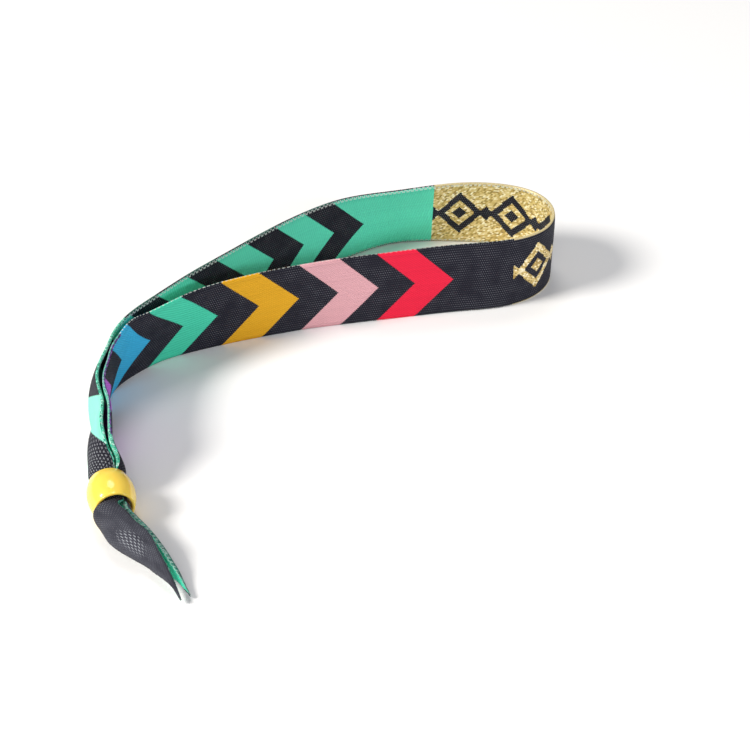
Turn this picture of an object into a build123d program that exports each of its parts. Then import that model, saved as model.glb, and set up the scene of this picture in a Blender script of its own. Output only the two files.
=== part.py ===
"""A woven festival wristband: one long ribbon whose two ends pass through a round bead.

The ribbon stands on its lower edge in a long loop. At the neck its two strands close up, fold lengthwise and go
through the bore of the bead side by side. Behind the bead they open again, twist over and end as two short tails.
Sizes are in millimetres and angles in degrees. +X runs along the loop, +Y away from its front strand, and +Z up
from the surface that it stands on.
"""

import os
from math import cos, radians, sin
from typing import NamedTuple

from build123d import *

# The ribbon
band_width = 15.0
band_wall = 1.0  # woven ground with the floats and selvages on both faces
selvage_share = 0.1  # width of each flat selvage on the outer face, as a share of half the ribbon's width

# The bead
bead_diameter = 8.2
bead_length = 6.8
bore_diameter = 5.7
bead_rim = 0.4  # wall at the bead's ends, as a share of the wall at its middle
bore_lip = 0.28  # radius that rounds the bore's two mouths, as a share of the wall at the bead's middle
bead_turn = 17.0  # from straight ahead, -Y, towards +X

# How the strands lie in the bore
bore_clearance = 0.1  # between the folded strands and the bore
strand_part = 0.12  # between the two folded strands
fold_middle = 0.66  # radius of a folded strand's middle line, as a share of the room in the bore
bore_bend = 180.0  # angle of the lengthwise fold
back_roll = 36.0  # lean of the folded strands where they enter, in the sense of NeckRow.roll
front_roll = 46.0  # and where they leave
bore_steps = 4  # stretches between the slices in the bore

# The loop, seen from above
loop_length = 81.2  # from the mouth, where the strands part, to the far end
loop_depth = 47.2  # from the mouth to the back of the loop
neck_length = 32.9  # from the mouth to the back of the bead
tail_length = 23.0  # from the front of the bead to the cut ends

up = Vector(0, 0, 1)
bead_radius = bead_diameter / 2
bore_radius = bore_diameter / 2
bead_axis = Vector(sin(radians(bead_turn)), -cos(radians(bead_turn)), 0)


class NeckRow(NamedTuple):
    """One place on the paired strands. aside and ahead are shares of the neck's or the tails' length."""

    aside: float  # towards +X
    ahead: float  # towards -Y
    low: float  # height of the lower edge, as a share of the bead's radius
    roll: float  # lean of the width to the right of one who looks back along +Y
    fullness: float  # 1 at the whole width, 0 as narrow as in the bore
    bend: float  # angle of the lengthwise fold
    part: float  # between the strands' edges, as a share of the wall
    swing: float  # turn of the slice from square to the route


class LoopRow(NamedTuple):
    """One place on the free loop. along and across are shares of its length and depth, from the mouth."""

    along: float
    across: float
    lean: float  # of the upper edge, outwards


neck_rows = [
    NeckRow(-0.010, 0.000, 0.03, 11, 1.00, 2, 0.50, 0),
    NeckRow(-0.066, 0.211, 0.03, 12, 1.00, 8, 0.25, 0),
    NeckRow(-0.076, 0.430, 0.04, 9, 1.00, 18, 0.25, 0),
    NeckRow(-0.052, 0.641, 0.04, 9, 0.98, 20, 0.25, 0),
    NeckRow(-0.026, 0.800, 0.05, 14, 0.84, 34, 0.25, 0),
    NeckRow(-0.004, 0.890, 0.15, 24, 0.60, 60, 0.25, 0),
    NeckRow(0.014, 0.955, 0.33, 33, 0.28, 115, 0.20, 0),
]

tail_rows = [
    NeckRow(0.012, 0.050, 0.56, 52, 0.07, 165, 0.20, 0),
    NeckRow(0.053, 0.135, 0.69, 75, 0.18, 140, 0.30, 0),
    NeckRow(0.109, 0.250, 0.80, 97, 0.32, 115, 0.40, 2),
    NeckRow(0.187, 0.390, 0.62, 115, 0.46, 85, 0.40, 5),
    NeckRow(0.272, 0.536, 0.38, 130, 0.66, 60, 0.40, 10),
    NeckRow(0.356, 0.684, 0.22, 140, 0.85, 38, 0.45, 17),
    NeckRow(0.426, 0.820, 0.13, 148, 1.00, 16, 0.60, 25),
]

loop_rows = [
    LoopRow(0.042, 0.080, 11),
    LoopRow(0.128, 0.186, 8),
    LoopRow(0.249, 0.280, 3),
    LoopRow(0.422, 0.373, 0),
    LoopRow(0.595, 0.440, -2),
    LoopRow(0.768, 0.498, -3),
    LoopRow(0.898, 0.543, -2),
    LoopRow(0.976, 0.638, 1),
    LoopRow(1.000, 0.770, 0),
    LoopRow(0.971, 0.902, -3),
    LoopRow(0.889, 0.981, -4),
    LoopRow(0.766, 1.000, -7),
    LoopRow(0.618, 0.966, -13),
    LoopRow(0.489, 0.864, -10),
    LoopRow(0.378, 0.725, -6),
    LoopRow(0.255, 0.521, -4),
    LoopRow(0.135, 0.304, -6),
    LoopRow(0.052, 0.150, -10),
]

# The origin is under the middle of the whole wristband
mouth = Vector(-0.4733 * loop_length, 0.1451 * loop_depth, 0)
bead_back = mouth + Vector(0.029, -1, 0) * neck_length
bead_middle = bead_back + bead_axis * (bead_length / 2) + up * bead_radius
bead_front = bead_back + bead_axis * bead_length


class Slice(NamedTuple):
    """A cross-section of the ribbon: a strip of even wall, bent about a line along the ribbon."""

    middle: Vector  # half way between the strip's two edges
    travel: Vector  # the way the ribbon runs
    rise: Vector  # from its lower edge to its upper edge
    chord: float
    bend: float
    wall: float


def folded_size(fullness):
    """Chord and wall of a strand that is folded to a share of its full width."""
    room = bore_radius - bore_clearance - strand_part / 2
    folded_chord = 2 * fold_middle * room
    folded_wall = 2 * (1 - fold_middle) * room
    chord = fullness * band_width + (1 - fullness) * folded_chord
    wall = fullness * band_wall + (1 - fullness) * folded_wall
    return chord, wall


def unit(vector):
    """The same direction, one long."""
    return vector * (1 / vector.length)


def headings(places):
    """Level directions along a row of places, each from the place before to the place after."""
    last = len(places) - 1
    ahead = [places[min(i + 1, last)] - places[max(i - 1, 0)] for i in range(last + 1)]
    return [unit(Vector(step.X, step.Y, 0)) for step in ahead]


def standing_height(chord, wall, lean, bend):
    """Height of the middle of a slice whose lowest corner touches the surface."""
    end_lean = radians(abs(lean) + bend / 2)
    return abs(cos(radians(lean))) * chord / 2 + sin(end_lean) * wall / 2


def pair_slice(place, heading, row, side, height=None):
    """Slice of one of two strands that lie side by side: side is 1 for the right strand and -1 for the left."""
    chord, wall = folded_size(row.fullness)
    heading = heading.rotate(Axis.Z, row.swing)
    right = Vector(-heading.Y, heading.X, 0)
    lean = radians(row.roll)
    rise = up * cos(lean) + right * sin(lean)
    facing = right * cos(lean) - up * sin(lean)
    if height is None:
        height = row.low * bead_radius + standing_height(chord, wall, row.roll, row.bend)
    offset = row.part * band_wall / 2 + wall / 2 * cos(radians(row.bend / 2))
    middle = Vector(place.X, place.Y, height) + facing * (offset * side)
    return Slice(middle, heading * -side, rise, chord, row.bend, wall)


def strand_slices(side):
    """Slices of one strand from the mouth through the bead to its cut end."""
    stretches = []
    for rows, start, length in ((neck_rows, mouth, neck_length), (tail_rows, bead_front, tail_length)):
        places = [start + Vector(row.aside, -row.ahead, 0) * length for row in rows]
        stretches.append((rows, places))
    (neck, neck_places), (tail, tail_places) = stretches
    shares = [step / bore_steps for step in range(bore_steps + 1)]
    bore_places = [bead_back + bead_axis * (bead_length * share) for share in shares]
    ways = headings(neck_places + bore_places + tail_places)
    slices = [pair_slice(p, w, row, side) for p, w, row in zip(neck_places, ways, neck)]
    for share, place in zip(shares, bore_places):
        roll = back_roll + (front_roll - back_roll) * share
        folded = NeckRow(0, 0, 0, roll, 0, bore_bend, strand_part / band_wall, 0)
        slices.append(pair_slice(place, bead_axis, folded, side, bead_radius))
    slices += [pair_slice(p, w, row, side) for p, w, row in zip(tail_places, ways[-len(tail):], tail)]
    return slices


def loop_slices():
    """Slices of the free loop, from the right strand's neck round to the left strand's."""
    flat_bend = neck_rows[0].bend
    places = [mouth + Vector(row.along * loop_length, row.across * loop_depth, 0) for row in loop_rows]
    slices = []
    for place, heading, row in zip(places, headings([mouth, *places, mouth])[1:-1], loop_rows):
        outward = Vector(heading.Y, -heading.X, 0)
        lean = radians(row.lean)
        rise = up * cos(lean) + outward * sin(lean)
        height = standing_height(band_width, band_wall, row.lean, flat_bend)
        middle = Vector(place.X, place.Y, height)
        slices.append(Slice(middle, heading, rise, band_width, flat_bend, band_wall))
    return slices


def draw_slice(piece):
    """Sketch of a slice: an outer arc between two flat selvages, the two woven edges and an inner arc."""
    half = radians(piece.bend / 2)
    radius = piece.chord / 2 / sin(half)
    outer = radius + piece.wall / 2
    inner = radius - piece.wall / 2
    hem = half * (1 - selvage_share)

    def at(arc_radius, turn):
        return arc_radius * sin(turn), arc_radius * cos(turn) - radius * cos(half)

    with BuildSketch(Plane(origin=piece.middle, x_dir=piece.rise, z_dir=piece.travel)) as section:
        with BuildLine():
            Line(at(outer, -half), at(outer, -hem))
            ThreePointArc(at(outer, -hem), at(outer, 0), at(outer, hem))
            Line(at(outer, hem), at(outer, half))
            Line(at(outer, half), at(inner, half))
            ThreePointArc(at(inner, half), at(inner, 0), at(inner, -half))
            Line(at(inner, -half), at(outer, -half))
        make_face()
    return section.sketch


right_strand = strand_slices(1)
left_strand = strand_slices(-1)
ribbon = [*reversed(right_strand), *loop_slices(), *left_strand]

with BuildPart() as woven_band:
    loft(sections=[draw_slice(piece) for piece in ribbon])

bead_plane = Plane(origin=bead_middle, x_dir=bead_axis, z_dir=bead_axis.cross(up))
with BuildPart() as bead:
    with BuildSketch(bead_plane) as wall_profile:
        with BuildLine():
            half_length = bead_length / 2
            rim = bore_radius + bead_rim * (bead_radius - bore_radius)
            ThreePointArc((-half_length, rim), (0, bead_radius), (half_length, rim))
            Line((half_length, rim), (half_length, bore_radius))
            Line((half_length, bore_radius), (-half_length, bore_radius))
            Line((-half_length, bore_radius), (-half_length, rim))
        make_face()
    revolve(axis=Axis(bead_middle, bead_axis))
    bore_mouths = bead.edges().filter_by(GeomType.CIRCLE).sort_by(SortBy.RADIUS)[:2]
    fillet(bore_mouths, bore_lip * (bead_radius - bore_radius))

os.makedirs("parts", exist_ok=True)
for piece, name in ((woven_band, "woven_band"), (bead, "bead")):
    piece.part.label = name
    export_step(piece.part, f"parts/{name}.step")
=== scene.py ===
import math
import random

import bpy
import numpy as np
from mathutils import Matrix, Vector, noise


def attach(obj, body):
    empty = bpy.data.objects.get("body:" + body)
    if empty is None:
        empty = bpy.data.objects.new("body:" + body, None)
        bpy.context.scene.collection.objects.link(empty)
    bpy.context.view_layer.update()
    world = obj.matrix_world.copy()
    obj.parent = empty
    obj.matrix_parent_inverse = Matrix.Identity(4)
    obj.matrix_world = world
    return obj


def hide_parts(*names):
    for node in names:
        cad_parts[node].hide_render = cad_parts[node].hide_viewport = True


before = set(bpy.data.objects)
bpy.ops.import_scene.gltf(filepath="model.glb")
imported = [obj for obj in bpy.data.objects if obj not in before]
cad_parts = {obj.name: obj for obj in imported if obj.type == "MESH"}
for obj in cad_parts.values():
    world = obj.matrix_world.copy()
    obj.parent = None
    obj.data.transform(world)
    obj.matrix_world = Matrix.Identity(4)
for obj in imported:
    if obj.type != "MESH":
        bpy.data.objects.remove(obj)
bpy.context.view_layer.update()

mm = 0.001
print("frame loaded:", sorted(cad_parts))


# Camera, at the height and distance of a table-top product shot
shot = {"place": (0.00777, -0.25525, 0.20310), "downTilt": 37.5, "lens": 85.886, "sensor": 36.0, "near": 0.01}

cameraData = bpy.data.cameras.new("productCamera")
cameraData.lens = shot["lens"]
cameraData.sensor_width = shot["sensor"]
cameraData.clip_start = shot["near"]
camera = bpy.data.objects.new("productCamera", cameraData)
camera.location = shot["place"]
camera.rotation_euler = (math.radians(90 - shot["downTilt"]), 0, 0)
bpy.context.collection.objects.link(camera)
bpy.context.scene.camera = camera
bpy.context.scene.view_settings.view_transform = "Standard"  # plain sRGB, as a product shot
print("camera set")


def toLinear(hexColour, alpha=1.0):
    values = [int(hexColour[i:i + 2], 16) / 255 for i in (1, 3, 5)]
    return (*[v / 12.92 if v <= 0.04045 else ((v + 0.055) / 1.055) ** 2.4 for v in values], alpha)


def addNode(tree, kind, inputs=None, **settings):
    # a node given as an input stands for the first output that it has in use
    made = tree.nodes.new("ShaderNode" + kind)
    for name, value in settings.items():
        setattr(made, name, value)
    for key, value in (inputs or {}).items():
        if isinstance(value, bpy.types.Node):
            value = next(output for output in value.outputs if output.enabled)
        if isinstance(value, bpy.types.NodeSocket):
            tree.links.new(value, made.inputs[key])
        else:
            made.inputs[key].default_value = value
    return made


def setStops(ramp, stops, interpolation="CONSTANT"):
    # stops: place and hex colour, from the lowest place up
    ramp.interpolation = interpolation
    ramp.elements.remove(ramp.elements[1])
    ramp.elements[0].position = stops[0][0]
    ramp.elements[0].color = toLinear(stops[0][1])
    for place, tone in stops[1:]:
        ramp.elements.new(place).color = toLinear(tone)


def newMaterial(name):
    material = bpy.data.materials.new(name)
    material.use_nodes = True
    material.node_tree.nodes.clear()
    return material, material.node_tree


def newPiece(name, points, faces, material, weave=None):
    mesh = bpy.data.meshes.new(name)
    mesh.from_pydata([tuple(p) for p in points], [], faces)
    mesh.update()
    mesh.polygons.foreach_set("use_smooth", [True] * len(mesh.polygons))
    if weave is not None:
        layer = mesh.attributes.new("weave", "FLOAT_VECTOR", "POINT")
        layer.data.foreach_set("vector", np.asarray(weave, dtype=np.float32).ravel())
    mesh.materials.append(material)
    piece = bpy.data.objects.new(name, mesh)
    bpy.context.collection.objects.link(piece)
    return piece


# Route of the ribbon, in millimetres and degrees
route = {
    "width": 15.0,
    "weaveLength": 327.0,  # the weave is laid out on this length from cut end to cut end
    "wall": 0.62,  # woven polyester, both layers
    "foldExtra": 0.5,  # a folded strand is thicker
    "loopLength": 81.2,
    "loopDepth": 47.2,
    "neckLength": 32.9,
    "neckAside": 0.029,  # of the bead's back from the mouth, as a share of the neck's length
    "mouth": (-38.432, 6.849, 0.0),
    "beadRadius": 4.1,
    "beadLength": 6.8,
    "beadTurn": 17.0,
    "boreChord": 3.55,
    "boreBend": 180,
    "boreRolls": (36.0, 46.0),
    "boreSteps": 4,
    "borePart": 0.06,  # of each strand from the bead's axis
    "loopBend": 2,
    "fineSteps": 1400,
}

# each row: lower edge, upper edge (x, y, z) and lengthwise fold
rightNeck = [
    ((-39.6, 6.4, 0.0), (-36.2, 6.5, 14.6), 2),
    ((-41.0, 2.4, 0.0), (-37.6, 3.0, 14.6), 8),
    ((-41.2, -1.6, 0.05), (-38.7, -1.2, 14.7), 14),
    ((-41.1, -5.6, 0.05), (-38.95, -5.5, 14.75), 16),
    ((-40.9, -9.2, 0.1), (-39.15, -8.9, 14.8), 16),
    ((-40.4, -13.2, 0.15), (-38.5, -13.2, 14.8), 20),
    ((-40.0, -16.4, 0.25), (-37.6, -15.9, 14.3), 24),
    ((-39.7, -18.6, 0.4), (-37.3, -18.5, 12.9), 24),
    ((-39.6, -20.6, 0.6), (-37.1, -20.5, 11.3), 30),
    ((-39.3, -22.5, 0.9), (-36.5, -22.5, 9.8), 50),
    ((-38.7, -24.1, 1.4), (-35.8, -24.0, 7.6), 125),
]
leftNeck = [
    ((-41.2, 7.6, 0.1), (-37.6, 6.9, 14.6), 2),
    ((-42.2, 3.2, 0.1), (-38.9, 3.0, 14.6), 10),
    ((-42.3, -1.0, 0.1), (-39.45, -1.0, 14.7), 22),
    ((-42.0, -5.4, 0.1), (-40.2, -5.4, 14.6), 36),
    ((-41.8, -9.0, 0.15), (-40.35, -8.9, 14.5), 38),
    ((-41.2, -13.2, 0.2), (-39.4, -13.1, 14.2), 22),
    ((-40.9, -16.4, 0.3), (-38.6, -16.2, 13.5), 36),
    ((-40.5, -18.6, 0.4), (-38.6, -18.5, 12.5), 60),
    ((-40.2, -20.6, 0.6), (-38.2, -20.5, 11.0), 76),
    ((-39.9, -22.6, 0.9), (-37.3, -22.5, 9.3), 102),
    ((-39.3, -24.2, 1.4), (-36.4, -24.0, 7.3), 150),
]
rightTail = [
    ((-36.9, -33.3, 1.7), (-33.5, -33.9, 5.9), 140),
    ((-36.3, -35.1, 1.4), (-32.4, -35.3, 5.7), 105),
    ((-34.8, -37.5, 1.1), (-30.4, -37.3, 5.3), 80),
    ((-32.8, -39.4, 0.9), (-28.6, -39.2, 4.7), 62),
    ((-30.3, -41.2, 0.8), (-26.9, -41.3, 3.8), 50),
    ((-27.6, -43.4, 0.6), (-25.0, -44.1, 2.8), 40),
    ((-25.9, -46.2, 0.5), (-23.3, -46.6, 1.6), 28),
    ((-24.5, -49.4, 0.4), (-21.7, -49.7, 0.7), 14),
]
leftTail = [
    ((-37.6, -33.3, 1.9), (-34.6, -33.4, 6.3), 160),
    ((-37.1, -35.3, 1.7), (-33.2, -35.3, 6.2), 142),
    ((-35.6, -37.9, 1.4), (-31.4, -37.7, 6.0), 136),
    ((-33.6, -39.8, 1.2), (-29.3, -39.5, 5.5), 130),
    ((-31.0, -41.6, 1.0), (-27.7, -41.9, 4.5), 125),
    ((-28.3, -43.4, 0.8), (-26.0, -44.7, 3.4), 115),
    ((-26.7, -46.4, 0.6), (-24.5, -47.5, 2.1), 90),
    ((-25.4, -50.3, 0.5), (-23.05, -51.0, 1.0), 60),
]
loopRows = [  # along, across, as shares of the loop's length and depth, and lean outwards
    (0.042, 0.056, 12), (0.128, 0.1706, 9), (0.249, 0.272, 3), (0.422, 0.373, 0), (0.595, 0.440, -2),
    (0.768, 0.498, -3), (0.898, 0.543, -2), (0.976, 0.638, 1), (1.000, 0.770, 0), (0.971, 0.902, -3),
    (0.889, 0.981, -4), (0.766, 1.000, -7), (0.618, 0.966, -13), (0.489, 0.864, -4), (0.378, 0.725, -2),
    (0.255, 0.521, -4), (0.135, 0.307, -6), (0.052, 0.152, -10),
]

up = np.array([0.0, 0.0, 1.0])
halfWidth = route["width"] / 2
mouth = np.array(route["mouth"])
turn = math.radians(route["beadTurn"])
beadAxis = np.array([math.sin(turn), -math.cos(turn), 0.0])
beadBack = mouth + np.array([route["neckAside"], -1.0, 0.0]) * route["neckLength"]
beadMiddle = beadBack + beadAxis * route["beadLength"] / 2 + up * route["beadRadius"]


def levelWays(places):
    last = len(places) - 1
    ways = [places[min(i + 1, last)] - places[max(i - 1, 0)] for i in range(last + 1)]
    return [np.array([w[0], w[1], 0]) / math.hypot(w[0], w[1]) for w in ways]


def standingHeight(lean):
    # of the middle of a whole, nearly flat slice that stands on its lower edge
    ends = math.radians(abs(lean) + route["loopBend"] / 2)
    return abs(math.cos(math.radians(lean))) * halfWidth + math.sin(ends) * route["wall"] / 2


def leaning(lean, aside):
    # the way up along a slice that leans by so many degrees, and the way out of its face
    lean = math.radians(lean)
    return up * math.cos(lean) + aside * math.sin(lean), aside * math.cos(lean) - up * math.sin(lean)


def middlesOf(rows):
    return [(np.array(low) + np.array(high)) / 2 for low, high, _ in rows]


def edgeSlices(rows, ways, side):
    # each slice: middle, rise, outward, chord, bend, wall
    made = []
    for (low, high, bend), way in zip(rows, ways):
        low, high = np.array(low), np.array(high)
        chord = np.linalg.norm(high - low)
        rise = (high - low) / chord
        outward = np.cross(rise, way) * side
        outward /= np.linalg.norm(outward)
        wall = route["wall"] + (1 - min(1.0, chord / route["width"])) * route["foldExtra"]
        made.append([*((low + high) / 2), *rise, *outward, chord, bend, wall])
    return made


def strandSlices(side):
    # one strand from the mouth through the bead to its cut end
    neck, tail = (rightNeck, rightTail) if side == 1 else (leftNeck, leftTail)
    shares = [k / route["boreSteps"] for k in range(route["boreSteps"] + 1)]
    bores = [beadBack + beadAxis * route["beadLength"] * share for share in shares]
    ways = levelWays(middlesOf(neck) + bores + middlesOf(tail))
    made = edgeSlices(neck, ways, side)
    right = np.array([-beadAxis[1], beadAxis[0], 0])
    firstRoll, lastRoll = route["boreRolls"]
    foldedWall = route["wall"] + route["foldExtra"]
    for share, place in zip(shares, bores):
        rise, facing = leaning(firstRoll + (lastRoll - firstRoll) * share, right)
        middle = place + up * route["beadRadius"] + facing * route["borePart"] * side
        made.append([*middle, *rise, *(facing * side), route["boreChord"], route["boreBend"], foldedWall])
    return made + edgeSlices(tail, ways[-len(tail):], side)


def loopSlices():
    places = [mouth + np.array([along * route["loopLength"], across * route["loopDepth"], 0])
              for along, across, _ in loopRows]
    made = []
    for place, way, (_, _, lean) in zip(places, levelWays([mouth, *places, mouth])[1:-1], loopRows):
        rise, facing = leaning(lean, np.array([way[1], -way[0], 0]))
        made.append([place[0], place[1], standingHeight(lean), *rise, *facing,
                     route["width"], route["loopBend"], route["wall"]])
    return made


def smoothThrough(knots, values, at):
    # natural cubic spline
    count = len(knots)
    steps = np.diff(knots)
    system = np.zeros((count, count))
    target = np.zeros_like(values)
    system[0, 0] = system[-1, -1] = 1
    for i in range(1, count - 1):
        system[i, i - 1:i + 2] = steps[i - 1], 2 * (steps[i - 1] + steps[i]), steps[i]
        target[i] = 6 * ((values[i + 1] - values[i]) / steps[i] - (values[i] - values[i - 1]) / steps[i - 1])
    curve = np.linalg.solve(system, target)
    i = np.clip(np.searchsorted(knots, at) - 1, 0, count - 2)
    a = ((knots[i + 1] - at) / steps[i])[:, None]
    b = 1 - a
    h = (steps[i] ** 2)[:, None] / 6
    return a * values[i] + b * values[i + 1] + ((a ** 3 - a) * curve[i] + (b ** 3 - b) * curve[i + 1]) * h


def lengthsTo(points):
    # length of the way from the first point to each
    return np.concatenate([[0], np.cumsum(np.linalg.norm(np.diff(points, axis=0), axis=1))])


slices = np.array([*reversed(strandSlices(1)), *loopSlices(), *strandSlices(-1)])
knots = lengthsTo(slices[:, :3])


def ribbonFrames(at):
    # place, rise, outward, chord, bend and wall at places along the ribbon, all in mm
    rows = smoothThrough(knots, slices, np.asarray(at, dtype=float))
    rise = rows[:, 3:6] / np.linalg.norm(rows[:, 3:6], axis=1)[:, None]
    outward = rows[:, 6:9] - rise * (rows[:, 6:9] * rise).sum(1)[:, None]
    outward /= np.linalg.norm(outward, axis=1)[:, None]
    bend = np.radians(np.clip(rows[:, 10], 1, route["boreBend"] + 2))
    return rows[:, :3], rise, outward, rows[:, 9], bend, rows[:, 11]


fineAt = np.linspace(0, knots[-1], route["fineSteps"])
fineLength = lengthsTo(ribbonFrames(fineAt)[0])
ribbonLength = fineLength[-1]
patternScale = route["weaveLength"] / ribbonLength


def ribbonPoint(along, across, offset):
    # along: mm of the weave, across: mm from the middle line, offset: mm out of the middle layer, all arrays
    at = np.interp(np.asarray(along) / patternScale, fineLength, fineAt)
    middle, rise, outward, chord, bend, wall = ribbonFrames(at)
    radius = chord / 2 / np.sin(bend / 2)
    angle = np.asarray(across) / halfWidth * bend / 2
    normal = rise * np.sin(angle)[:, None] + outward * np.cos(angle)[:, None]
    point = middle + rise * (radius * np.sin(angle))[:, None]
    point = point + outward * (radius * (np.cos(angle) - np.cos(bend / 2)))[:, None]
    return point + normal * np.asarray(offset)[:, None], wall


print("ribbon route:", round(ribbonLength, 1), "mm")


# Jacquard woven polyester: fine satin ribs, each colour a yarn of its own, pale binding points on black.
# Places are in mm: along the weave from one cut end to the other, and across from the ribbon's middle line.
weaveLook = {
    "ground": "#1A1A26",
    "yarn": 0.28,  # one yarn, the step of each pattern's edge
    "outsideFrom": (-1.0, -0.8),  # the edge's wall takes the outer face's yarns
    # chevrons
    "chevrons": ["#EA2343", "#DEA7AE", "#E2A823", "#47CEAA", "#38ADD9", "#B862CF"],
    "tips": [129.2, 114.45, 98.75, 82.9, 68.5, 52.2, 37.5],  # of the coloured chevrons, the last one plain
    "greenTips": [199.5, 214.0, 229.3, 245.0, 261.0, 277.3, 293.6],
    "green": "#47CEAA",
    # the same green yarn drawn lighter on the inner face: painted light and painted sheen
    "litGreenInner": "#62E2C2",
    "mint": "#88DFC7",
    "mintFrom": 272.0,
    "plainEnds": 10.0,  # plain weave beside the first and the last tip
    "halves": 166.0,  # where the coloured half ends and the green half starts
    "triangles": {"from": 128.2, "pitch": 15.2, "halfWidth": 6.8},
    # lozenges
    "lozenges": {"zone": (141.2, 184.9), "count": 4, "halfLength": 4.9, "halfWidth": 5.4,
                 "ring": (0.80, 0.185), "core": 0.30, "knotHalfLength": 1.5, "knotHalfWidth": 1.9},
    "gold": [(0.0, "#9C8147"), (0.35, "#CFB26A"), (0.72, "#E6D093"), (1.0, "#FFF7DA")],
    "glint": (0.42, 0.34),  # length and width of one glint of the gold yarn
    "glintSlant": 0.55,
    # wear and painted light: the tails' black face goes grey, partly scuffs and partly painted light where
    # the tails face up to the lamps
    "wornAndLit": "#40414B",
    "wornAndLitEnds": ((28.0, 20.0), (303.0, 309.0)),  # the tails turn grey over these stretches
    "wornAndLitPatches": {"scale": 0.35, "from": 0.3, "to": 0.62, "least": 0.55},  # patches of about 3 mm
    # binding points: line pitch, point pitch, strength
    "dot": "#A9ADB5",
    "darkBelow": 0.05,  # only yarns darker than this show them
    "dotHalves": (0.19, 0.24),  # half sizes, as shares of the pitches
    "quietGrid": (0.50, 0.44, 1.0),
    "quietShare": {"from": 0.35, "to": 0.65, "least": 0.06, "most": 0.26},
    "spots": [  # painted highlight: where the tails' black face catches the light its points show stronger: centre, reach and grid
        ((314.2, 1.0, 1.0), 3.6, (0.66, 1.05, 0.8)),
        ((297.0, 2.0, 1.0), 9.0, (0.80, 0.62, 0.60)),
    ],
    # ribs of the inner and of the outer face: slant, and a pitch of about two yarns
    "ribs": ((0.32, 0.55), (1.3, 0.62)),
    "ribShade": (-0.07, 0.05),
    "yarnShade": (-0.03, 0.03),
    # selvages
    "groove": (6.75, 0.10),
    "grooveShade": 0.10,
    "chainColour": "#D3DAD6",
    "chain": {"rows": ((7.42, 0.0), (7.10, 0.5)), "halfWidth": 0.15,
              "pitch": 0.95, "share": 0.60, "shade": 0.72},
    "speckleFrom": (58.0, 262.0),  # beyond these, by the bead, the upper selvage is speckled
    "speckleEdge": 7.15,
    "speckleOnTails": 0.4,
    "speckleSize": (0.36, 0.2),
    "mintSpeckle": [(0.0, "#15604A"), (0.3, "#2FA988"), (0.62, "#6FE0C4"), (0.86, "#D6F5EC")],
    "violetSpeckle": [(0.0, "#241C33"), (0.35, "#6E4494"), (0.68, "#A667C2"), (0.9, "#3FAF93")],
    "violet": (34.0, 60.0),  # beside the violet chevron
    "violetSide": 0.2,  # from here out through the edge's wall, where 1 is the outer face
    "blackEdge": {"zone": (190.0, 262.0), "from": 7.25, "shade": 0.85},
    "goldEdge": {"colour": "#D8C796", "from": 7.3, "shade": 0.85},
    # surface
    "bump": {"strength": 0.45, "depth": 0.00006, "chain": 1.5, "dots": 1.2},
    "roughness": (0.68, 0.40),  # of the polyester and of the gold yarn
    "goldMetallic": 0.25,
}


def stretchMask(tree, place, ends):
    # 1 between the two ends and 0 outside them
    after = addNode(tree, "Math", {0: place, 1: ends[0]}, operation="GREATER_THAN")
    before = addNode(tree, "Math", {0: place, 1: ends[1]}, operation="LESS_THAN")
    return addNode(tree, "Math", {0: after, 1: before}, operation="MULTIPLY")


def chevronRow(tree, place, tips, tones, plain):
    # each chevron runs from its tip half way to the next tip, and the plain ground from there on
    margin = math.copysign(weaveLook["plainEnds"], tips[-1] - tips[0])
    first, last = tips[0] - margin, tips[-1] + margin
    shares = [(tip - first) / (last - first) for tip in tips]
    stops = [(0.0, plain)]
    for share, following, tone in zip(shares, shares[1:], tones):
        stops += [(share, tone), ((share + following) / 2, plain)]
    share = addNode(tree, "MapRange", {0: place, 1: first, 2: last})
    row = addNode(tree, "ValToRGB", {0: share})
    setStops(row.color_ramp, stops)
    return row


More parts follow.
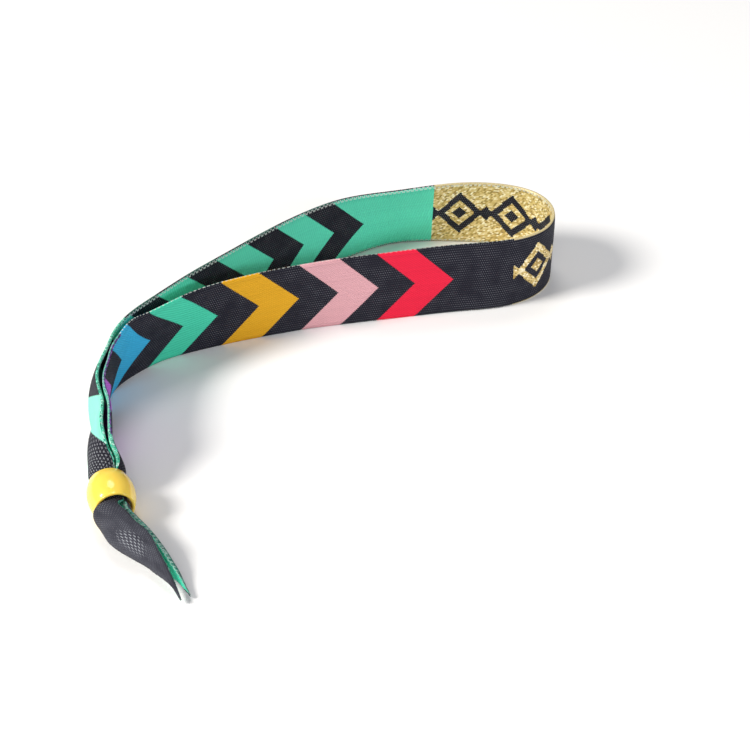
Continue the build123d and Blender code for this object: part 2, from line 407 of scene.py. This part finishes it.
def chevronFaces(tree, along, off):
    # colours of the outer and of the inner face
    look = weaveLook
    ground, green = toLinear(look["ground"]), toLinear(look["green"])
    forward = addNode(tree, "Math", {0: along, 1: off}, operation="ADD")
    backward = addNode(tree, "Math", {0: along, 1: off}, operation="SUBTRACT")

    # the coloured half outside, and the green half: green on black outside, black on green inside
    coloured = chevronRow(tree, forward, look["tips"], look["chevrons"], look["ground"])
    white = ["#FFFFFF"] * len(look["greenTips"])
    greenMask = chevronRow(tree, backward, look["greenTips"], white, "#000000")
    isMint = addNode(tree, "Math", {0: backward, 1: look["mintFrom"]}, operation="GREATER_THAN")
    paler = addNode(tree, "Mix", {0: isMint, 6: green, 7: toLinear(look["mint"])}, data_type="RGBA")
    greenOuter = addNode(tree, "Mix", {0: greenMask, 6: ground, 7: paler}, data_type="RGBA")
    # the inner face's green is the green yarn drawn lighter: painted light and painted sheen
    litGreen = toLinear(look["litGreenInner"])
    litGreenInner = addNode(tree, "Mix", {0: greenMask, 6: litGreen, 7: ground}, data_type="RGBA")

    # the coloured half inside: triangles of each chevron's colour between green ones
    start, pitch = look["triangles"]["from"], look["triangles"]["pitch"]
    count = len(look["chevrons"]) + 2
    share = addNode(tree, "MapRange", {0: along, 1: start + pitch, 2: start - (count - 1) * pitch})
    tones = addNode(tree, "ValToRGB", {0: share})
    setStops(tones.color_ramp, [(k / count, tone) for k, tone in enumerate(
        [look["green"], *look["chevrons"], look["green"]])])
    steps = addNode(tree, "MapRange", {0: along, 1: start, 2: start - pitch}, clamp=False)
    inStep = addNode(tree, "Math", {0: steps}, operation="FRACT")
    rising = addNode(tree, "Math", {0: inStep, 1: 2.0}, operation="MULTIPLY")
    falling = addNode(tree, "Math", {0: 2.0, 1: rising}, operation="SUBTRACT")
    isRising = addNode(tree, "Math", {0: rising, 1: 1.0}, operation="LESS_THAN")
    spread = addNode(tree, "Math", {0: off, 1: look["triangles"]["halfWidth"]}, operation="DIVIDE")
    sides = addNode(tree, "Math", {0: spread, 1: rising}, operation="GREATER_THAN")
    centre = addNode(tree, "Math", {0: spread, 1: falling}, operation="LESS_THAN")
    triangle = addNode(tree, "Mix", {0: isRising, 2: centre, 3: sides})
    colouredInner = addNode(tree, "Mix", {0: triangle, 6: green, 7: tones}, data_type="RGBA")

    isGreenHalf = addNode(tree, "Math", {0: along, 1: look["halves"]}, operation="GREATER_THAN")
    return [addNode(tree, "Mix", {0: isGreenHalf, 6: first, 7: second}, data_type="RGBA")
            for first, second in ((coloured, greenOuter), (colouredInner, litGreenInner))]


def lozengeMask(tree, along, off):
    # a row of ringed lozenges, joined by small knots
    row = weaveLook["lozenges"]
    start, end = row["zone"]
    pitch = (end - start) / row["count"]
    steps = addNode(tree, "MapRange", {0: along, 1: start, 2: start + pitch}, clamp=False)
    inStep = addNode(tree, "Math", {0: steps}, operation="FRACT")
    centred = addNode(tree, "MapRange", {0: inStep, 3: -pitch / 2, 4: pitch / 2})
    fromCentre = addNode(tree, "Math", {0: centred}, operation="ABSOLUTE")
    fromEnd = addNode(tree, "Math", {0: pitch / 2, 1: fromCentre}, operation="SUBTRACT")
    shapes = []
    for distance, halfLength, halfWide in (
            (fromCentre, row["halfLength"], row["halfWidth"]),
            (fromEnd, row["knotHalfLength"], row["knotHalfWidth"])):
        part = addNode(tree, "Math", {0: distance, 1: halfLength}, operation="DIVIDE")
        shapes.append(addNode(tree, "Math", {0: off, 1: 1 / halfWide, 2: part}, operation="MULTIPLY_ADD"))
    lozenge, knot = shapes
    ring = addNode(tree, "Math", {0: lozenge, 1: row["ring"][0], 2: row["ring"][1]}, operation="COMPARE")
    core = addNode(tree, "Math", {0: lozenge, 1: row["core"]}, operation="LESS_THAN")
    knotMask = addNode(tree, "Math", {0: knot, 1: 1.0}, operation="LESS_THAN")
    ringed = addNode(tree, "Math", {0: ring, 1: core}, operation="MAXIMUM")
    return addNode(tree, "Math", {0: ringed, 1: knotMask}, operation="MAXIMUM")


def goldYarn(tree, along, across):
    # metallised yarn: each short float is lighter or darker than the next
    (length, width), slant = weaveLook["glint"], weaveLook["glintSlant"]
    slanted = addNode(tree, "Math", {0: across, 1: slant, 2: along}, operation="MULTIPLY_ADD")
    floatAlong = addNode(tree, "Math", {0: slanted, 1: length}, operation="SNAP")
    floatAcross = addNode(tree, "Math", {0: across, 1: width}, operation="SNAP")
    place = addNode(tree, "CombineXYZ", {0: floatAlong, 1: floatAcross})
    glint = addNode(tree, "TexWhiteNoise", {0: place}, noise_dimensions="2D")
    tones = addNode(tree, "ValToRGB", {0: glint})
    setStops(tones.color_ramp, weaveLook["gold"], "LINEAR")
    return glint, tones


def bindingPoints(tree, weave, along, across, patches, isDark):
    # pale points in broken lines on the black ground, fine and quiet but for the spots of painted highlight
    look = weaveLook
    quiet = look["quietShare"]
    inQuiet = addNode(tree, "MapRange", {
        0: patches, 1: quiet["from"], 2: quiet["to"], 3: quiet["least"], 4: quiet["most"]})
    grids = [(inQuiet, look["quietGrid"])]
    for centre, reach, grid in look["spots"]:
        away = addNode(tree, "VectorMath", {0: weave, 1: centre}, operation="DISTANCE")
        grids.append((addNode(tree, "MapRange", {0: away, 1: reach / 2, 2: reach, 3: 1.0, 4: 0.0}), grid))
    mask = 0.0
    for weight, (linePitch, pointPitch, strength) in grids:
        lines = addNode(tree, "Math", {0: across, 1: 1 / linePitch}, operation="MULTIPLY")
        number = addNode(tree, "Math", {0: lines}, operation="FLOOR")
        shift = addNode(tree, "Math", {0: number, 1: 0.5}, operation="MULTIPLY")  # staggers every other line
        points = addNode(tree, "Math", {0: along, 1: 1 / pointPitch, 2: shift}, operation="MULTIPLY_ADD")
        grid = addNode(tree, "Math", {0: weight, 1: strength}, operation="MULTIPLY")
        for steps, half in zip((lines, points), look["dotHalves"]):
            inStep = addNode(tree, "Math", {0: steps}, operation="FRACT")
            onIt = addNode(tree, "Math", {0: inStep, 1: 0.5, 2: half}, operation="COMPARE")
            grid = addNode(tree, "Math", {0: grid, 1: onIt}, operation="MULTIPLY")
        mask = addNode(tree, "Math", {0: grid, 1: mask}, operation="MAXIMUM")
    return addNode(tree, "Math", {0: mask, 1: isDark}, operation="MULTIPLY")


def selvageChain(tree, along, off, inside):
    # staggered rows of pale loops along both edges of the inner face
    look = weaveLook["chain"]
    chain = 0.0
    for place, phase in look["rows"]:
        line = addNode(tree, "Math", {0: off, 1: place, 2: look["halfWidth"]}, operation="COMPARE")
        steps = addNode(tree, "Math", {0: along, 1: 1 / look["pitch"], 2: phase}, operation="MULTIPLY_ADD")
        inStep = addNode(tree, "Math", {0: steps}, operation="FRACT")
        dash = addNode(tree, "Math", {0: inStep, 1: look["share"]}, operation="LESS_THAN")
        loop = addNode(tree, "Math", {0: line, 1: dash}, operation="MULTIPLY")
        chain = addNode(tree, "Math", {0: loop, 1: chain}, operation="MAXIMUM")
    for share in (inside, look["shade"]):
        chain = addNode(tree, "Math", {0: chain, 1: share}, operation="MULTIPLY")
    return chain


def speckles(tree, along, across, side, tailMask):
    # by the bead, the upper selvage's mask and colours
    look = weaveLook
    early = addNode(tree, "Math", {0: along, 1: look["speckleFrom"][0]}, operation="LESS_THAN")
    late = addNode(tree, "Math", {0: along, 1: look["speckleFrom"][1]}, operation="GREATER_THAN")
    mask = addNode(tree, "Math", {0: early, 1: late}, operation="ADD")
    atEdge = addNode(tree, "Math", {0: across, 1: look["speckleEdge"]}, operation="GREATER_THAN")
    quieter = addNode(tree, "MapRange", {0: tailMask, 3: 1.0, 4: look["speckleOnTails"]})
    for share in (atEdge, quieter):
        mask = addNode(tree, "Math", {0: mask, 1: share}, operation="MULTIPLY")

    length, width = look["speckleSize"]
    snapAlong = addNode(tree, "Math", {0: along, 1: length}, operation="SNAP")
    snapAcross = addNode(tree, "Math", {0: across, 1: width}, operation="SNAP")
    place = addNode(tree, "CombineXYZ", {0: snapAlong, 1: snapAcross, 2: side})
    speck = addNode(tree, "TexWhiteNoise", {0: place}, noise_dimensions="3D")
    mint, violet = [addNode(tree, "ValToRGB", {0: speck}) for _ in range(2)]
    setStops(mint.color_ramp, look["mintSpeckle"])
    setStops(violet.color_ramp, look["violetSpeckle"])
    byViolet = stretchMask(tree, along, look["violet"])
    outerEdge = addNode(tree, "Math", {0: side, 1: look["violetSide"]}, operation="GREATER_THAN")
    isViolet = addNode(tree, "Math", {0: byViolet, 1: outerEdge}, operation="MULTIPLY")
    return mask, addNode(tree, "Mix", {0: isViolet, 6: mint, 7: violet}, data_type="RGBA")


def wovenMaterial():
    look = weaveLook
    ground = toLinear(look["ground"])
    material, tree = newMaterial("wovenPolyester")
    weave = addNode(tree, "Attribute", attribute_name="weave").outputs["Vector"]
    along, across, side = addNode(tree, "SeparateXYZ", {0: weave}).outputs
    off = addNode(tree, "Math", {0: across}, operation="ABSOLUTE")

    # the motifs' edges step from yarn to yarn
    yarnAlong = addNode(tree, "Math", {0: along, 1: look["yarn"]}, operation="SNAP")
    yarnAcross = addNode(tree, "Math", {0: across, 1: look["yarn"]}, operation="SNAP")
    yarnOff = addNode(tree, "Math", {0: yarnAcross}, operation="ABSOLUTE")
    outerFace, innerFace = chevronFaces(tree, yarnAlong, yarnOff)
    zone = stretchMask(tree, yarnAlong, look["lozenges"]["zone"])
    motif = lozengeMask(tree, yarnAlong, yarnOff)
    betweenMotifs = addNode(tree, "Math", {0: 1.0, 1: motif}, operation="SUBTRACT")
    glint, goldTones = goldYarn(tree, along, across)

    # gold on black outside, and black on gold inside
    outerGold = addNode(tree, "Math", {0: zone, 1: motif}, operation="MULTIPLY")
    innerGold = addNode(tree, "Math", {0: zone, 1: betweenMotifs}, operation="MULTIPLY")
    innerInk = addNode(tree, "Mix", {0: zone, 6: innerFace, 7: ground}, data_type="RGBA")
    outside = addNode(tree, "MapRange", {0: side, 1: look["outsideFrom"][0], 2: look["outsideFrom"][1]})
    ink = addNode(tree, "Mix", {0: outside, 6: innerInk, 7: outerFace}, data_type="RGBA")
    goldMask = addNode(tree, "Mix", {0: outside, 2: innerGold, 3: outerGold})

    # the tails: the black outer face goes grey in soft patches, partly scuffs and partly painted light where
    # the tails face up to the lamps
    darkness = addNode(tree, "RGBToBW", {0: ink})
    isDark = addNode(tree, "Math", {0: darkness, 1: look["darkBelow"]}, operation="LESS_THAN")
    firstTail, lastTail = [
        addNode(tree, "MapRange", {0: along, 1: start, 2: end}) for start, end in look["wornAndLitEnds"]]
    tailMask = addNode(tree, "Math", {0: firstTail, 1: lastTail}, operation="MAXIMUM")
    wornAndLit = look["wornAndLitPatches"]
    patches = addNode(tree, "TexNoise", {"Vector": weave, "Scale": wornAndLit["scale"], "Detail": 3.0})
    inPatch = addNode(tree, "MapRange", {0: patches, 1: wornAndLit["from"], 2: wornAndLit["to"], 3: wornAndLit["least"]})
    wornAndLitMask = tailMask
    for share in (inPatch, isDark, outside):
        wornAndLitMask = addNode(tree, "Math", {0: wornAndLitMask, 1: share}, operation="MULTIPLY")
    ink = addNode(tree, "Mix", {0: wornAndLitMask, 6: ink, 7: toLinear(look["wornAndLit"])}, data_type="RGBA")
    dots = bindingPoints(tree, weave, along, across, patches, isDark)
    ink = addNode(tree, "Mix", {0: dots, 6: ink, 7: toLinear(look["dot"])}, data_type="RGBA")

    # satin ribs, and yarns a little lighter or darker than their neighbours
    ribPair = []
    for slant, pitch in look["ribs"]:
        slanted = addNode(tree, "Math", {0: across, 1: slant, 2: along}, operation="MULTIPLY_ADD")
        wave = addNode(tree, "Math", {0: slanted, 1: 2 * math.pi / pitch}, operation="MULTIPLY")
        ribPair.append(addNode(tree, "Math", {0: wave}, operation="SINE"))
    ribs = addNode(tree, "Mix", {0: outside, 2: ribPair[0], 3: ribPair[1]})
    yarnTone = addNode(tree, "TexWhiteNoise", {1: yarnAcross}, noise_dimensions="1D")
    yarnShade = addNode(tree, "MapRange", {0: yarnTone, 3: look["yarnShade"][0], 4: look["yarnShade"][1]})
    ribShade = addNode(tree, "MapRange", {0: ribs, 1: -1.0, 3: look["ribShade"][0], 4: look["ribShade"][1]})
    shade = addNode(tree, "Math", {0: yarnShade, 1: ribShade}, operation="ADD")
    brightness = addNode(tree, "Math", {0: shade, 1: 1.0}, operation="ADD")
    ink = addNode(tree, "HueSaturation", {"Color": ink, "Value": brightness})
    colour = addNode(tree, "Mix", {0: goldMask, 6: ink, 7: goldTones}, data_type="RGBA")

    # selvages: a groove, pale loops inside, a black or gilt edge and the speckles by the bead
    groove = addNode(tree, "Math", {0: off, 1: look["groove"][0], 2: look["groove"][1]}, operation="COMPARE")
    grooveShade = addNode(tree, "Math", {0: groove, 1: look["grooveShade"]}, operation="MULTIPLY")
    inside = addNode(tree, "Math", {0: side, 1: 0.5}, operation="LESS_THAN")
    chain = selvageChain(tree, along, off, inside)
    black, gilt = look["blackEdge"], look["goldEdge"]
    upperEdge = addNode(tree, "Math", {0: across, 1: black["from"]}, operation="GREATER_THAN")
    blackShade = stretchMask(tree, along, black["zone"])
    for share in (upperEdge, outside, black["shade"]):
        blackShade = addNode(tree, "Math", {0: blackShade, 1: share}, operation="MULTIPLY")
    bothEdges = addNode(tree, "Math", {0: off, 1: gilt["from"]}, operation="GREATER_THAN")
    giltShade = zone
    for share in (bothEdges, gilt["shade"]):
        giltShade = addNode(tree, "Math", {0: giltShade, 1: share}, operation="MULTIPLY")
    speckleMask, speckleTones = speckles(tree, along, across, side, tailMask)
    for share, tone in (
            (grooveShade, ground), (chain, toLinear(look["chainColour"])), (blackShade, ground),
            (giltShade, toLinear(gilt["colour"])), (speckleMask, speckleTones)):
        colour = addNode(tree, "Mix", {0: share, 6: colour, 7: tone}, data_type="RGBA")

    relief = look["bump"]
    height = addNode(tree, "Mix", {0: goldMask, 2: ribs, 3: glint})
    height = addNode(tree, "Math", {0: chain, 1: relief["chain"], 2: height}, operation="MULTIPLY_ADD")
    height = addNode(tree, "Math", {0: dots, 1: relief["dots"], 2: height}, operation="MULTIPLY_ADD")
    bump = addNode(tree, "Bump", {
        "Height": height, "Strength": relief["strength"], "Distance": relief["depth"]})
    roughness = addNode(tree, "MapRange", {0: goldMask, 3: look["roughness"][0], 4: look["roughness"][1]})
    metallic = addNode(tree, "Math", {0: goldMask, 1: look["goldMetallic"]}, operation="MULTIPLY")
    shader = addNode(tree, "BsdfPrincipled", {
        "Base Color": colour, "Roughness": roughness, "Metallic": metallic, "Normal": bump,
        "IOR": 1.55, "Specular IOR Level": 0.14})
    addNode(tree, "OutputMaterial", {0: shader})
    return material


wovenPolyester = wovenMaterial()
print("woven material made")


# The cloth: a closed sheet, thinner at the selvages, in mm
cloth = {
    "alongSteps": 1000,
    "acrossSteps": 26,
    "wave": 0.10,  # long soft waves of the whole face
    "waveScale": (0.09, 0.12, 0.3),  # per mm along and across, and a place in the noise
    "tailWave": 0.16,  # shorter ones on the tails
    "tailWaveScale": (0.35, 0.30, 4.1),
    "tailReach": 22.0,
    "edgeWave": 0.35,  # the lower edge moves in and out
    "edgeWaveScale": (0.11, 2.7),
    "edgeThin": 0.45,  # share of the wall that is lost at the edges
    "thinFrom": 6.6,
    "cutJag": 0.35,
    "cutSlant": 0.53,  # per mm of width, the upper edge is the longest
    "cutReach": 26.0,
}


def makeCloth():
    random.seed(4)
    length = route["weaveLength"]
    n, m = cloth["alongSteps"] + 1, cloth["acrossSteps"] + 1
    along = np.repeat(np.linspace(0, length, n), m)
    across = np.tile(np.linspace(-halfWidth, halfWidth, m), n)
    scale, layer = cloth["edgeWaveScale"]
    lift = np.array([noise.noise(Vector((a * scale, layer, 0.0))) for a in along]) * cloth["edgeWave"]
    across = np.where(across < 0, across * (1 - np.abs(lift) / halfWidth), across)
    for j in range(m):
        lane = slice(j, None, m)
        back = cloth["cutSlant"] * route["width"] * (1 - j / (m - 1))
        for end, inwards in ((0.0, 1), (length, -1)):
            cut = back + random.uniform(0, 1) * cloth["cutJag"]
            along[lane] += inwards * cut * np.clip(1 - np.abs(along[lane] - end) / cloth["cutReach"], 0, 1)

    waves = []
    for alongScale, acrossScale, layer in (cloth["waveScale"], cloth["tailWaveScale"]):
        waves.append(np.array([noise.noise(Vector((a * alongScale, c * acrossScale, layer)))
                               for a, c in zip(along, across)]))
    nearTail = np.clip(1 - np.minimum(along, length - along) / cloth["tailReach"], 0, 1)
    wave = waves[0] * cloth["wave"] + waves[1] * cloth["tailWave"] * nearTail
    edge = np.clip((np.abs(across) - cloth["thinFrom"]) / (halfWidth - cloth["thinFrom"]), 0, 1)
    thin = 1 - cloth["edgeThin"] * edge ** 2
    wall = ribbonPoint(along, across, np.zeros(n * m))[1]
    sheets, layers = [], []
    for side in (1, -1):
        sheets.append(ribbonPoint(along, across, wave + side * wall / 2 * thin)[0] * mm)
        layers.append(np.stack([along, across, np.full(n * m, float(side))], 1))

    # outer and inner face, the walls of both edges and the two cut ends
    faces = []
    inner = n * m
    for i in range(n - 1):
        for j in range(m - 1):
            a, b, c, d = i * m + j, (i + 1) * m + j, (i + 1) * m + j + 1, i * m + j + 1
            faces.append((a, b, c, d))
            faces.append((inner + d, inner + c, inner + b, inner + a))
        low, high = i * m, i * m + m - 1
        faces.append((inner + low, inner + low + m, low + m, low))
        faces.append((high, high + m, inner + high + m, inner + high))
    last = (n - 1) * m
    for j in range(m - 1):
        faces.append((j, j + 1, inner + j + 1, inner + j))
        faces.append((inner + last + j, inner + last + j + 1, last + j + 1, last + j))
    return newPiece("wovenRibbon", np.concatenate(sheets), faces, wovenPolyester, np.concatenate(layers))


wovenRibbon = makeCloth()
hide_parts("woven_band")
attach(wovenRibbon, "root")
print("cloth made:", len(wovenRibbon.data.polygons), "faces")


def addTube(points, faces, layers, path, radius, weave, ringSides=5):
    # a closed tube round a path of points, all in mm
    path = np.asarray(path)
    start = len(points)
    side = up
    for place, way in zip(path, np.gradient(path, axis=0)):
        way = way / np.linalg.norm(way)
        if abs(np.dot(way, side)) > 0.95:
            side = np.array([1.0, 0.0, 0.0])
        a = np.cross(way, side)
        a /= np.linalg.norm(a)
        b = np.cross(way, a)
        side = -b
        for s in range(ringSides):
            t = 2 * math.pi * s / ringSides
            points.append((place + (a * math.cos(t) + b * math.sin(t)) * radius) * mm)
            layers.append(weave)
    for k in range(len(path) - 1):
        for s in range(ringSides):
            near, far = start + k * ringSides, start + (k + 1) * ringSides
            faces.append((near + s, near + (s + 1) % ringSides, far + (s + 1) % ringSides, far + s))
    faces.append(tuple(start + s for s in reversed(range(ringSides))))
    faces.append(tuple(start + (len(path) - 1) * ringSides + s for s in range(ringSides)))


# Weft loops that turn back at both selvages, in mm
selvage = {
    "pitch": 0.44,
    "pitchShift": 0.04,
    "yarn": 0.085,
    "from": 7.32,
    "reach": 0.15,
    "reachSpread": (0.75, 1.2),
    "thick": 0.20,
    "lean": 0.12,
    "bends": 6,
    "fromCut": 0.5,
    "tone": 7.4,  # the place across that a loop takes its colour from
}


def makeSelvage():
    random.seed(11)
    points, faces, layers = [], [], []
    turns = np.linspace(0, math.pi, selvage["bends"])
    lean = np.linspace(-selvage["lean"], selvage["lean"], selvage["bends"])
    for edge in (-1, 1):
        start = cloth["cutSlant"] * halfWidth * (1 - edge) + selvage["fromCut"]
        for k in range(int((route["weaveLength"] - 2 * start) / selvage["pitch"])):
            shift = random.uniform(-selvage["pitchShift"], selvage["pitchShift"])
            along = start + k * selvage["pitch"] + shift
            reach = selvage["reach"] * random.uniform(*selvage["reachSpread"])
            across = edge * (selvage["from"] + reach * np.sin(turns))
            path = ribbonPoint(along + lean, across, selvage["thick"] * np.cos(turns))[0]
            addTube(points, faces, layers, path, selvage["yarn"], (along, edge * selvage["tone"], 1.0))
    return newPiece("selvageLoops", points, faces, wovenPolyester, layers)


selvageLoops = makeSelvage()
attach(selvageLoops, "root")
print("selvage made:", len(selvageLoops.data.polygons), "faces")


# Floats: bare yarns that bridge the inner face behind the coloured chevrons, in mm
floats = {
    "from": 62.0,
    "to": 131.0,
    "across": (-6.4, 6.8),
    "pitch": 0.9,
    "length": 3.3,
    "gap": (0.3, 0.6),
    "slant": 0.5,
    "wander": 0.06,
    "yarn": 0.075,
    "rise": 0.16,
    "riseSpread": (0.5, 1.2),
    "sunk": 0.03,  # the float's ends, in the cloth
    "bends": 5,
}


def makeFloats():
    random.seed(23)
    points, faces, layers = [], [], []
    shares = np.linspace(0, 1, floats["bends"])
    lowest, highest = floats["across"]
    for j in range(int((highest - lowest) / floats["pitch"])):
        across = lowest + j * floats["pitch"]
        along = floats["from"] + random.uniform(0, floats["length"])
        while along + floats["length"] < floats["to"]:
            bow = floats["rise"] * random.uniform(*floats["riseSpread"])
            a = along + shares * floats["length"]
            aside = random.uniform(-floats["wander"], floats["wander"])
            c = across + floats["slant"] * (shares - 0.5) + aside
            inwards = route["wall"] / 2 + bow * np.sin(math.pi * shares) - floats["sunk"]
            path = ribbonPoint(a, c, -inwards)[0]
            addTube(points, faces, layers, path, floats["yarn"], (along + floats["length"] / 2, across, -1.0))
            along += floats["length"] + random.uniform(*floats["gap"])
    return newPiece("backFloats", points, faces, wovenPolyester, layers)


backFloats = makeFloats()
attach(backFloats, "root")
print("floats made:", len(backFloats.data.polygons), "faces")


# Bead: injection moulded polypropylene, sizes in mm
beadLook = {
    "colour": "#FDD556",
    "roughness": 0.17,
    # scale and depth of the mottle are in metres, its spots are about 4 mm
    "mottle": {"scale": 260.0, "tint": (0.96, 1.03), "strength": 0.06, "depth": 0.00005},
    "rim": 3.35,
    "rimDrop": 0.05,
    "bore": 2.85,
    "lip": 0.35,
    "crownShare": 0.93,  # of the length, before the rims round off
    "crownSteps": 24,
    "bendSteps": 5,
    "boreSteps": 8,
    "steps": 112,
}


def beadMaterial():
    # smooth and glossy, with a faint mottle of the melt, and a little light goes into it
    material, tree = newMaterial("glossyPolypropylene")
    mottled = beadLook["mottle"]
    spot = addNode(tree, "TexCoord").outputs["Object"]
    mottle = addNode(tree, "TexNoise", {"Vector": spot, "Scale": mottled["scale"], "Detail": 3.0})
    tint = addNode(tree, "MapRange", {0: mottle, 3: mottled["tint"][0], 4: mottled["tint"][1]})
    colour = addNode(tree, "HueSaturation", {"Color": toLinear(beadLook["colour"]), "Value": tint})
    bump = addNode(tree, "Bump", {
        "Height": mottle, "Strength": mottled["strength"], "Distance": mottled["depth"]})
    shader = addNode(tree, "BsdfPrincipled", {
        "Base Color": colour, "Roughness": beadLook["roughness"], "IOR": 1.49, "Normal": bump,
        "Subsurface Weight": 0.25, "Subsurface Radius": (0.9, 0.6, 0.2), "Subsurface Scale": 0.002,
        "Coat Weight": 0.3, "Coat Roughness": 0.08})
    addNode(tree, "OutputMaterial", {0: shader})
    return material


def beadProfile():
    # half outline, along the axis and out from it: outer arc, rounded rim, rounded lip, bore and back again
    half, top = route["beadLength"] / 2, route["beadRadius"]
    rim, bore, lip = beadLook["rim"], beadLook["bore"], beadLook["lip"]
    crown = (half ** 2 + (top - rim) ** 2) / (2 * (top - rim))
    reach = half * beadLook["crownShare"]
    arc = [-reach + 2 * reach * k / beadLook["crownSteps"] for k in range(beadLook["crownSteps"] + 1)]
    outer = [(x, top - crown + math.sqrt(crown ** 2 - x ** 2)) for x in arc]
    shoulder, high = outer[-1]
    low = rim - beadLook["rimDrop"]
    bends = beadLook["bendSteps"]
    turns = [math.pi / 2 * k / bends for k in range(bends + 1)]
    mouthSide = [(shoulder + (half - shoulder) * math.sin(t), low + (high - low) * math.cos(t))
                 for t in turns[1:-1]]
    mouthSide += [(half - lip + lip * math.cos(t), bore + lip - lip * math.sin(t)) for t in turns]
    flat = half - lip
    within = [(flat - 2 * flat * k / beadLook["boreSteps"], bore) for k in range(1, beadLook["boreSteps"])]
    return outer + mouthSide + within + [(-x, r) for x, r in reversed(mouthSide)]


def makeBead():
    profile = beadProfile()
    side = np.cross(beadAxis, up)
    points, faces = [], []
    steps, count = beadLook["steps"], len(profile)
    for s in range(steps):
        t = 2 * math.pi * s / steps
        spoke = up * math.cos(t) + side * math.sin(t)
        for x, r in profile:
            points.append((beadMiddle + beadAxis * x + spoke * r) * mm)
    for s in range(steps):
        here, there = s * count, (s + 1) % steps * count
        for k in range(count):
            after = (k + 1) % count
            faces.append((here + k, here + after, there + after, there + k))
    return newPiece("slidingBead", points, faces, beadMaterial())


slidingBead = makeBead()
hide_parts("bead")
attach(slidingBead, "root")
print("bead made")


# Floor and light, in metres and watts
studio = {
    "floor": "#FAFAFB",
    "grain": {"scale": 900.0, "detail": 2.0, "tint": (0.99, 1.0)},  # about 1 mm
    "roughness": 0.7,
    "size": 1.6,
    "level": -0.00005,  # a hair below the cloth
    "world": 0.15,
    "aim": (-0.01, 0.0, 0.005),
    "lamps": [  # name, direction, distance, size, power, colour, shows in gloss
        ("leftSoftbox", (-0.80, -0.22, 0.66), 1.20, 0.40, 16.5, "#FFFBF4", True),
        ("rightSoftbox", (0.866, -0.365, 0.346), 0.62, 0.07, 1.1, "#F6F8FF", True),
        ("frontPanel", (0.05, -0.84, 0.54), 1.60, 1.10, 7.8, "#FFFFFF", False),
        ("topPanel", (-0.1, 0.45, 0.9), 1.40, 0.60, 4.0, "#FFFFFF", True),
    ],
}


def makeFloor():
    # matte photo paper, with a very faint grain
    material, tree = newMaterial("mattePaper")
    grained = studio["grain"]
    grain = addNode(tree, "TexNoise", {"Scale": grained["scale"], "Detail": grained["detail"]})
    tint = addNode(tree, "MapRange", {0: grain, 3: grained["tint"][0], 4: grained["tint"][1]})
    colour = addNode(tree, "HueSaturation", {"Color": toLinear(studio["floor"]), "Value": tint})
    shader = addNode(tree, "BsdfPrincipled", {"Base Color": colour, "Roughness": studio["roughness"]})
    addNode(tree, "OutputMaterial", {0: shader})
    half = studio["size"] / 2
    corners = [(x * half, y * half, studio["level"]) for x, y in ((-1, -1), (1, -1), (1, 1), (-1, 1))]
    newPiece("paperFloor", corners, [(0, 1, 2, 3)], material)


def makeLights():
    world = bpy.data.worlds.new("softStudio")
    world.use_nodes = True
    background = world.node_tree.nodes["Background"]
    background.inputs[0].default_value = toLinear("#FFFFFF")
    background.inputs[1].default_value = studio["world"]
    bpy.context.scene.world = world
    aim = Vector(studio["aim"])
    for name, way, distance, size, watts, tone, glossy in studio["lamps"]:
        data = bpy.data.lights.new(name, "AREA")
        data.energy = watts
        data.shape = "DISK"
        data.size = size
        data.color = toLinear(tone)[:3]
        lamp = bpy.data.objects.new(name, data)
        lamp.visible_glossy = glossy
        lamp.location = aim + Vector(way).normalized() * distance
        lamp.rotation_euler = (aim - lamp.location).to_track_quat("-Z", "Y").to_euler()
        bpy.context.collection.objects.link(lamp)


makeFloor()
makeLights()
print("studio made")
